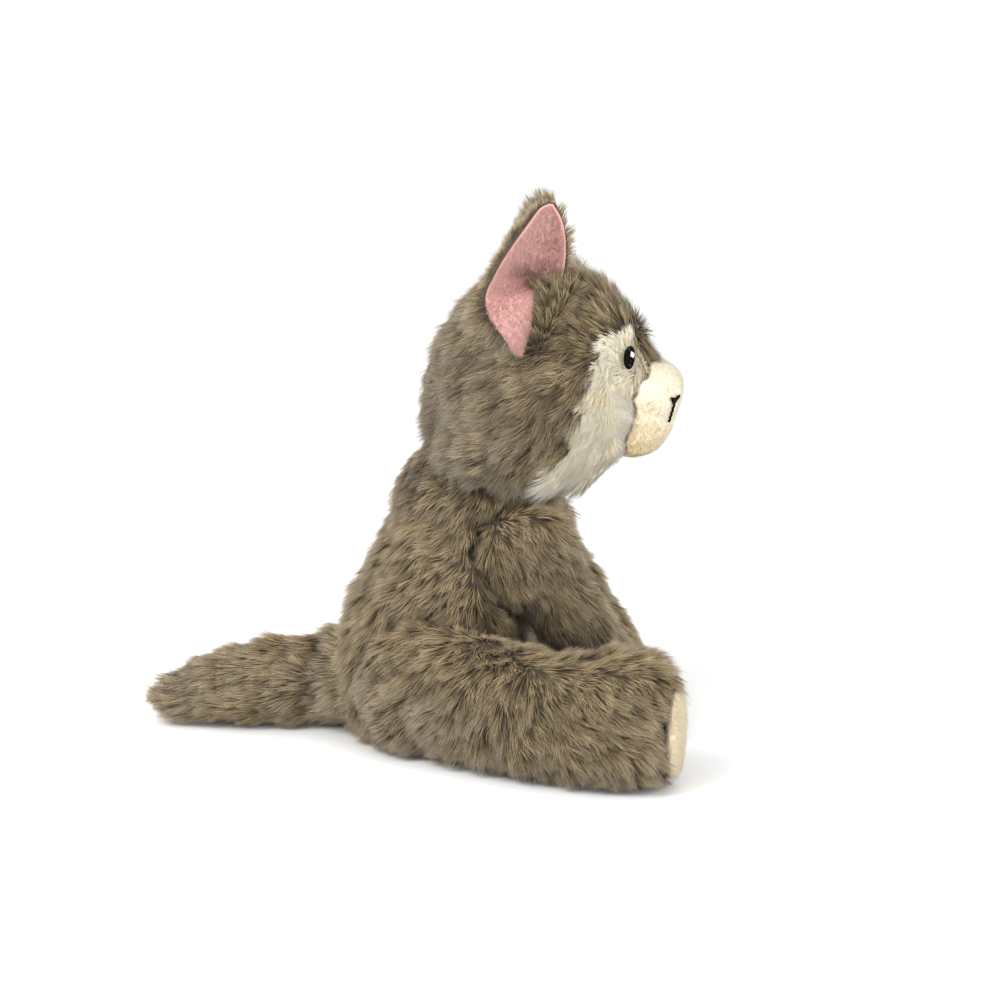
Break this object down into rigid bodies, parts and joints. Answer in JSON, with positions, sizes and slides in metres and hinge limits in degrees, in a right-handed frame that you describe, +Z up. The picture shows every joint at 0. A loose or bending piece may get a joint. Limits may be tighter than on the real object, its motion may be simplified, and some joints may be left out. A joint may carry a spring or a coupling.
{
  "type": "plush cat",
  "caption": "Sitting plush cat with long brown pile, white face mask, cream muzzle and soles, pink ear linings, embroidered eyes and nose, splayed hind legs and a thick tail on the floor.",
  "frame": {"origin": "on the floor under the torso, in the cat's middle plane and inside the seat panel", "axes": "+X is the way the cat faces, +Y is its left side, +Z is up"},
  "size_m": [0.2485, 0.2818, 0.2496],
  "materials": {
    "long_pile_brown": "long tousled polyester pile, matte",
    "long_pile_white": "long polyester pile, matte",
    "short_pile_cream": "short brushed polyester pile, matte",
    "short_pile_pink": "short brushed polyester pile, matte",
    "black_thread": "satin stitched rayon thread, slight sheen",
    "fibre_filling": "loose hollow polyester fibre",
    "pouch_cotton": "plain woven cotton"
  },
  "bodies": {
    "torso": {"torso_panel_left": "long_pile_brown", "torso_panel_right": "long_pile_brown", "seat_panel": "long_pile_brown", "torso_stuffing": "fibre_filling", "pellet_pouch": "pouch_cotton"},
    "neck": {"neck_stuffing": "fibre_filling"},
    "head": {"head_panel_left": "long_pile_brown", "head_panel_right": "long_pile_brown", "face_mask_left": "long_pile_white", "face_mask_right": "long_pile_white", "head_stuffing": "fibre_filling", "muzzle": "short_pile_cream", "muzzle_stuffing": "fibre_filling", "nose_embroidery": "black_thread", "mouth_stitch": "black_thread", "eye_left": "black_thread", "eye_right": "black_thread"},
    "ear_left": {"ear_back_left": "long_pile_brown", "ear_lining_left": "short_pile_pink"},
    "ear_right": {"ear_back_right": "long_pile_brown", "ear_lining_right": "short_pile_pink"},
    "arm_left": {"arm_cover_left": "long_pile_brown", "arm_stuffing_left": "fibre_filling"},
    "arm_right": {"arm_cover_right": "long_pile_brown", "arm_stuffing_right": "fibre_filling"},
    "leg_left": {"leg_cover_left": "long_pile_brown", "leg_stuffing_left": "fibre_filling", "sole_pad_left": "short_pile_cream"},
    "leg_right": {"leg_cover_right": "long_pile_brown", "leg_stuffing_right": "fibre_filling", "sole_pad_right": "short_pile_cream"},
    "tail": {"tail_cover": "long_pile_brown", "tail_stuffing": "fibre_filling"}
  },
  "joints": [
    {"name": "neck_turn", "type": "hinge", "parent": "torso", "child": "neck", "pos_m": [0.028, 0, 0.108], "axis": [0, 0, 1], "range_deg": [-25, 37], "stiffness_Nm_per_rad": 0.5},
    {"name": "head_nod", "type": "hinge", "parent": "neck", "child": "head", "pos_m": [0.028, 0, 0.108], "axis": [0.1045, 0.9945, 0], "range_deg": [-12, 10], "stiffness_Nm_per_rad": 1.5},
    {"name": "ear_flop_left", "type": "hinge", "parent": "head", "child": "ear_left", "pos_m": [0.06523, 0.03756, 0.202], "axis": [0.3248, -0.6929, 0.6437], "range_deg": [-20, 15], "stiffness_Nm_per_rad": 0.03},
    {"name": "ear_flop_right", "type": "hinge", "parent": "head", "child": "ear_right", "pos_m": [0.05661, -0.04448, 0.202], "axis": [-0.4617, -0.6103, -0.6437], "range_deg": [-20, 15], "stiffness_Nm_per_rad": 0.03},
    {"name": "shoulder_left", "type": "hinge", "parent": "torso", "child": "arm_left", "pos_m": [0.05, 0.031, 0.088], "axis": [0, 1, 0], "range_deg": [-45, 3], "stiffness_Nm_per_rad": 0.2},
    {"name": "shoulder_right", "type": "hinge", "parent": "torso", "child": "arm_right", "pos_m": [0.05, -0.031, 0.088], "axis": [0, 1, 0], "range_deg": [-45, 3], "stiffness_Nm_per_rad": 0.2},
    {"name": "hip_left", "type": "hinge", "parent": "torso", "child": "leg_left", "pos_m": [0.006, 0.048, 0.031], "axis": [-0.5878, 0.809, 0], "range_deg": [-12, 4], "stiffness_Nm_per_rad": 0.4},
    {"name": "hip_right", "type": "hinge", "parent": "torso", "child": "leg_right", "pos_m": [0.006, -0.048, 0.031], "axis": [0, 1, 0], "range_deg": [-12, 4], "stiffness_Nm_per_rad": 0.4},
    {"name": "tail_wag", "type": "hinge", "parent": "torso", "child": "tail", "pos_m": [-0.03, 0, 0.024], "axis": [0, 0, 1], "range_deg": [-20, 20], "stiffness_Nm_per_rad": 0.2}
  ]
}
